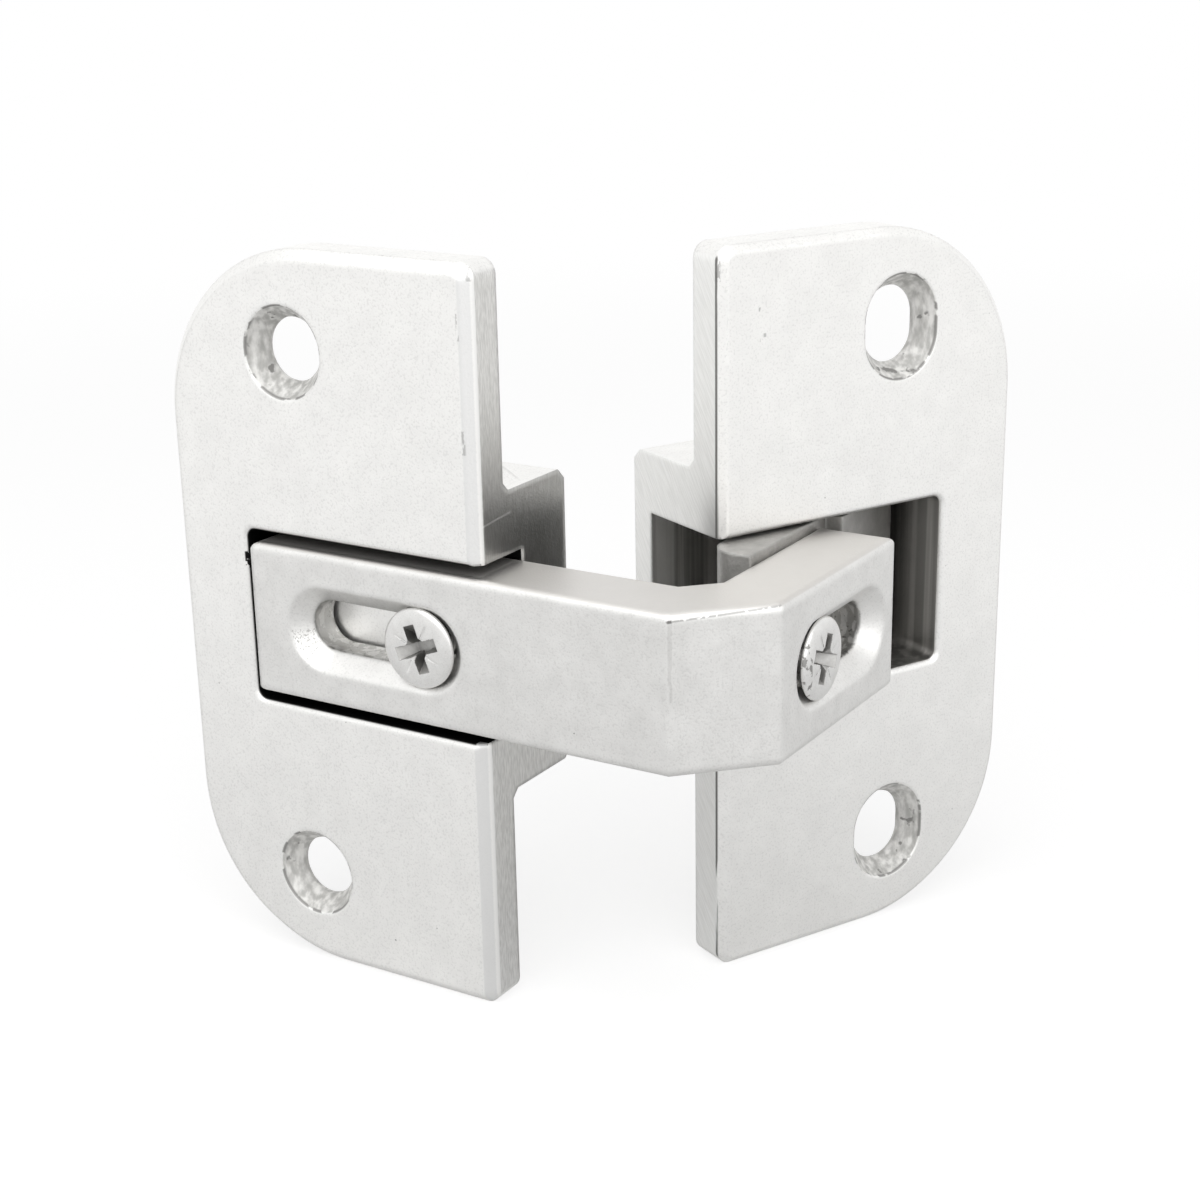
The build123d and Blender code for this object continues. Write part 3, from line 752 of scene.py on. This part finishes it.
RECESS_WING = 1.25
RECESS_DEPTH = 1.7
RECESS_TAPER = 0.45
STAR_SPAN = 2.3
STAR_WING = 0.5
STAR_DEPTH = 0.8
STAR_TAPER = 0.55
STAR_TURN = 45
TICK_SPAN = 5.2
TICK_WIDTH = 0.2
TICK_DEPTH = 0.03
TICK_TAPER = 0.97
CUTTER_RISE = 0.5
WELD = 0.002
SHARP_ANGLE = 32
TOP_SLACK = 0.00001
STEEL_LIGHT = (0.92, 0.915, 0.90, 1)
STEEL_DARK = (0.68, 0.675, 0.66, 1)
WORN_ROUGH = 0.5
WORN_ALONG = (-5.35, -3.9)
WORN_DEPTHS = (-0.5, 1.5)
RECESS_SHADED_LIGHT = (0.62, 0.615, 0.60, 1)
RECESS_SHADED_DARK = (0.30, 0.295, 0.285, 1)

screw_finish = Finish("screw_steel", STEEL_LIGHT, STEEL_DARK, roughness=0.30, edge_radius=0.14,
                      cloud_size=1.2, grain_size=0.12, pit_spacing=0.8, pit_share=0.12)
screw_nicks = screw_finish.patchy(screw_finish.edges["Edge"], spacing=0.5, share=0.35)
screw_finish.coat(screw_nicks, NICK_AND_SHADE_GREY, WORN_ROUGH)
rim_depth, rim_along, _ = piece_place(screw_finish.tree, -RIGHT_LEG_TURN, RIGHT_LEG_ORIGIN)
worn_rim = inside(screw_finish.tree, (rim_along, *WORN_ALONG), (rim_depth, *WORN_DEPTHS))
screw_finish.coat(screw_finish.patchy(worn_rim, spacing=0.55, share=0.3), PIT_GREY, WORN_ROUGH)
screw_finish.laid_on(bump=0.06, reach=3.0, shade=0.9)
# painted shade: the driver recess gets a darker copy of the screw's steel, standing in for the shade inside
# it
recess_shaded_finish = Finish("recess_steel_shaded", RECESS_SHADED_LIGHT, RECESS_SHADED_DARK, roughness=0.42, edge_radius=0.1,
                       cloud_size=0.7, grain_size=0.12, pit_spacing=0.5, pit_share=0.2)
recess_shaded_finish.laid_on(bump=0.1, reach=2.0, shade=0.7)


def ring(mesh, radius, height):
    """Circle of points round the screw's axis."""
    turns = [2 * math.pi * step / SCREW_SIDES for step in range(SCREW_SIDES)]
    return [mesh.verts.new((radius * math.cos(turn), radius * math.sin(turn), height)) for turn in turns]


def skirt(mesh, upper, lower):
    """Faces between two circles of points."""
    for step in range(SCREW_SIDES):
        after = (step + 1) % SCREW_SIDES
        mesh.faces.new((upper[step], lower[step], lower[after], upper[after]))


def thread(mesh, top, bottom):
    """Helical ridge from one height to another, running out into the plain root at both ends."""
    rows = len(THREAD_STEPS)
    turns = math.ceil((top - bottom) / THREAD_PITCH) + 2
    grid = []
    for row in range(rows * turns + 1):
        line = []
        for step in range(SCREW_SIDES):
            drop = THREAD_PITCH * (row / rows + step / SCREW_SIDES - 1)
            height = min(top, max(bottom, top - drop))
            run_out = min(1.0, (top - height) / THREAD_PITCH, (height - bottom) / THREAD_PITCH)
            radius = THREAD_ROOT + (THREAD_CREST - THREAD_ROOT) * THREAD_STEPS[row % rows] * run_out
            turn = 2 * math.pi * step / SCREW_SIDES
            line.append(mesh.verts.new((radius * math.cos(turn), radius * math.sin(turn), height)))
        grid.append(line)
    for row in range(rows * turns - rows):
        for step in range(SCREW_SIDES):
            last = step == SCREW_SIDES - 1
            after, shift = (0, rows) if last else (step + 1, 0)
            near = (grid[row][step], grid[row + 1][step])
            far = (grid[row + 1 + shift][after], grid[row + shift][after])
            mesh.faces.new(near + far)


def cross_cutter(name, span, wing, depth, turn, taper):
    """Tapered cross that cuts a driver recess into the head."""
    mesh = bmesh.new()

    def outline(scale, height):
        far, near = span / 2 * scale, wing / 2 * (0.5 + scale / 2)
        quarter = ((far, -near), (far, near), (near, near))
        points = []
        for quarter_turn in range(4):
            spin = Matrix.Rotation(math.radians(turn + 90 * quarter_turn), 3, "Z")
            points += [spin @ Vector((x, y, height)) for x, y in quarter]
        return [mesh.verts.new(point) for point in points]

    top = outline(1 + (1 - taper) * CUTTER_RISE / depth, CUTTER_RISE)
    base = outline(taper, -depth)
    count = len(top)
    for step in range(count):
        after = (step + 1) % count
        mesh.faces.new((top[step], base[step], base[after], top[after]))
    mesh.faces.new(top)
    mesh.faces.new(base)
    bmesh.ops.recalc_face_normals(mesh, faces=mesh.faces)
    data = bpy.data.meshes.new(name)
    mesh.to_mesh(data)
    mesh.free()
    return bpy.data.objects.new(name, data)


def clamp_screw(name, length, turn, place):
    """Screw with its head's top in the place's own x-y plane, pointing down its z axis."""
    mesh = bmesh.new()
    rings = [ring(mesh, radius, height) for radius, height in HEAD_PROFILE]
    for upper, lower in zip(rings, rings[1:]):
        skirt(mesh, upper, lower)
    mesh.faces.new(rings[0])
    thread(mesh, -NECK_END, TIP_CHAMFER - length)
    tip_top = ring(mesh, THREAD_ROOT, TIP_CHAMFER - length)
    tip_end = ring(mesh, THREAD_ROOT - TIP_CHAMFER, -length)
    skirt(mesh, tip_top, tip_end)
    mesh.faces.new(tip_end)
    bmesh.ops.remove_doubles(mesh, verts=mesh.verts, dist=WELD)
    bmesh.ops.dissolve_degenerate(mesh, edges=mesh.edges, dist=WELD)
    bmesh.ops.recalc_face_normals(mesh, faces=mesh.faces)
    data = bpy.data.meshes.new(name)
    mesh.to_mesh(data)
    mesh.free()
    blank = bpy.data.objects.new(name + "_blank", data)
    cutters = (
        cross_cutter(name + "_recess", RECESS_SPAN, RECESS_WING, RECESS_DEPTH, turn, RECESS_TAPER),
        cross_cutter(name + "_star", STAR_SPAN, STAR_WING, STAR_DEPTH, turn + STAR_TURN, STAR_TAPER),
        cross_cutter(name + "_ticks", TICK_SPAN, TICK_WIDTH, TICK_DEPTH, turn + STAR_TURN, TICK_TAPER),
    )
    blank.data.materials.append(screw_finish.material)
    for cutter, finish in zip(cutters, (recess_shaded_finish, recess_shaded_finish, screw_finish)):
        cutter.data.materials.append(finish.material)
    for helper in (blank, *cutters):
        scene.collection.objects.link(helper)
    for cutter in cutters:
        cut = blank.modifiers.new(cutter.name, "BOOLEAN")
        cut.operation = "DIFFERENCE"
        cut.solver = "EXACT"
        cut.material_mode = "TRANSFER"
        cut.object = cutter
    shaped = bpy.data.meshes.new_from_object(blank.evaluated_get(bpy.context.evaluated_depsgraph_get()))
    for helper in (blank, *cutters):
        bpy.data.objects.remove(helper)
    shaped.name = name
    shaped.transform(place @ Matrix.Scale(MM, 4))
    shaped.shade_smooth()
    shaped.set_sharp_from_angle(angle=math.radians(SHARP_ANGLE))
    screw = bpy.data.objects.new(name, shaped)
    scene.collection.objects.link(screw)
    return screw


def head_place(node_name, outwards):
    """Frame on the top of a screw's head: x along the leg, y up, z out of the head."""
    points = [Vector(corner.co) for corner in frame["nodes"][node_name].data.vertices]
    out = Vector(outwards).normalized()
    reach = max(point.dot(out) for point in points)
    top = [point for point in points if point.dot(out) > reach - TOP_SLACK]
    centre = sum(top, Vector()) / len(top)
    along = Vector((0, 0, 1)).cross(out)
    return Matrix.Translation(centre) @ Matrix((along, Vector((0, 0, 1)), out)).transposed().to_4x4()


cos_open, sin_open = math.cos(math.radians(LEFT_TURN)), math.sin(math.radians(LEFT_TURN))
# name, solid that it replaces, body, length, turn of the recess and the way the head faces
CLAMP_SCREWS = (
    ("right_clamp_screw", "right_screw", "knuckle", 8.2, -22.0, (sin_open, -cos_open, 0)),
    ("left_clamp_screw", "left_screw", "plate", 14.0, 20.0, (-cos_open, -sin_open, 0)),
)
for screw_name, solid, body, length, turn, outwards in CLAMP_SCREWS:
    screw = clamp_screw(screw_name, length, turn, head_place(solid, outwards))
    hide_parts(solid)
    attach(screw, body)
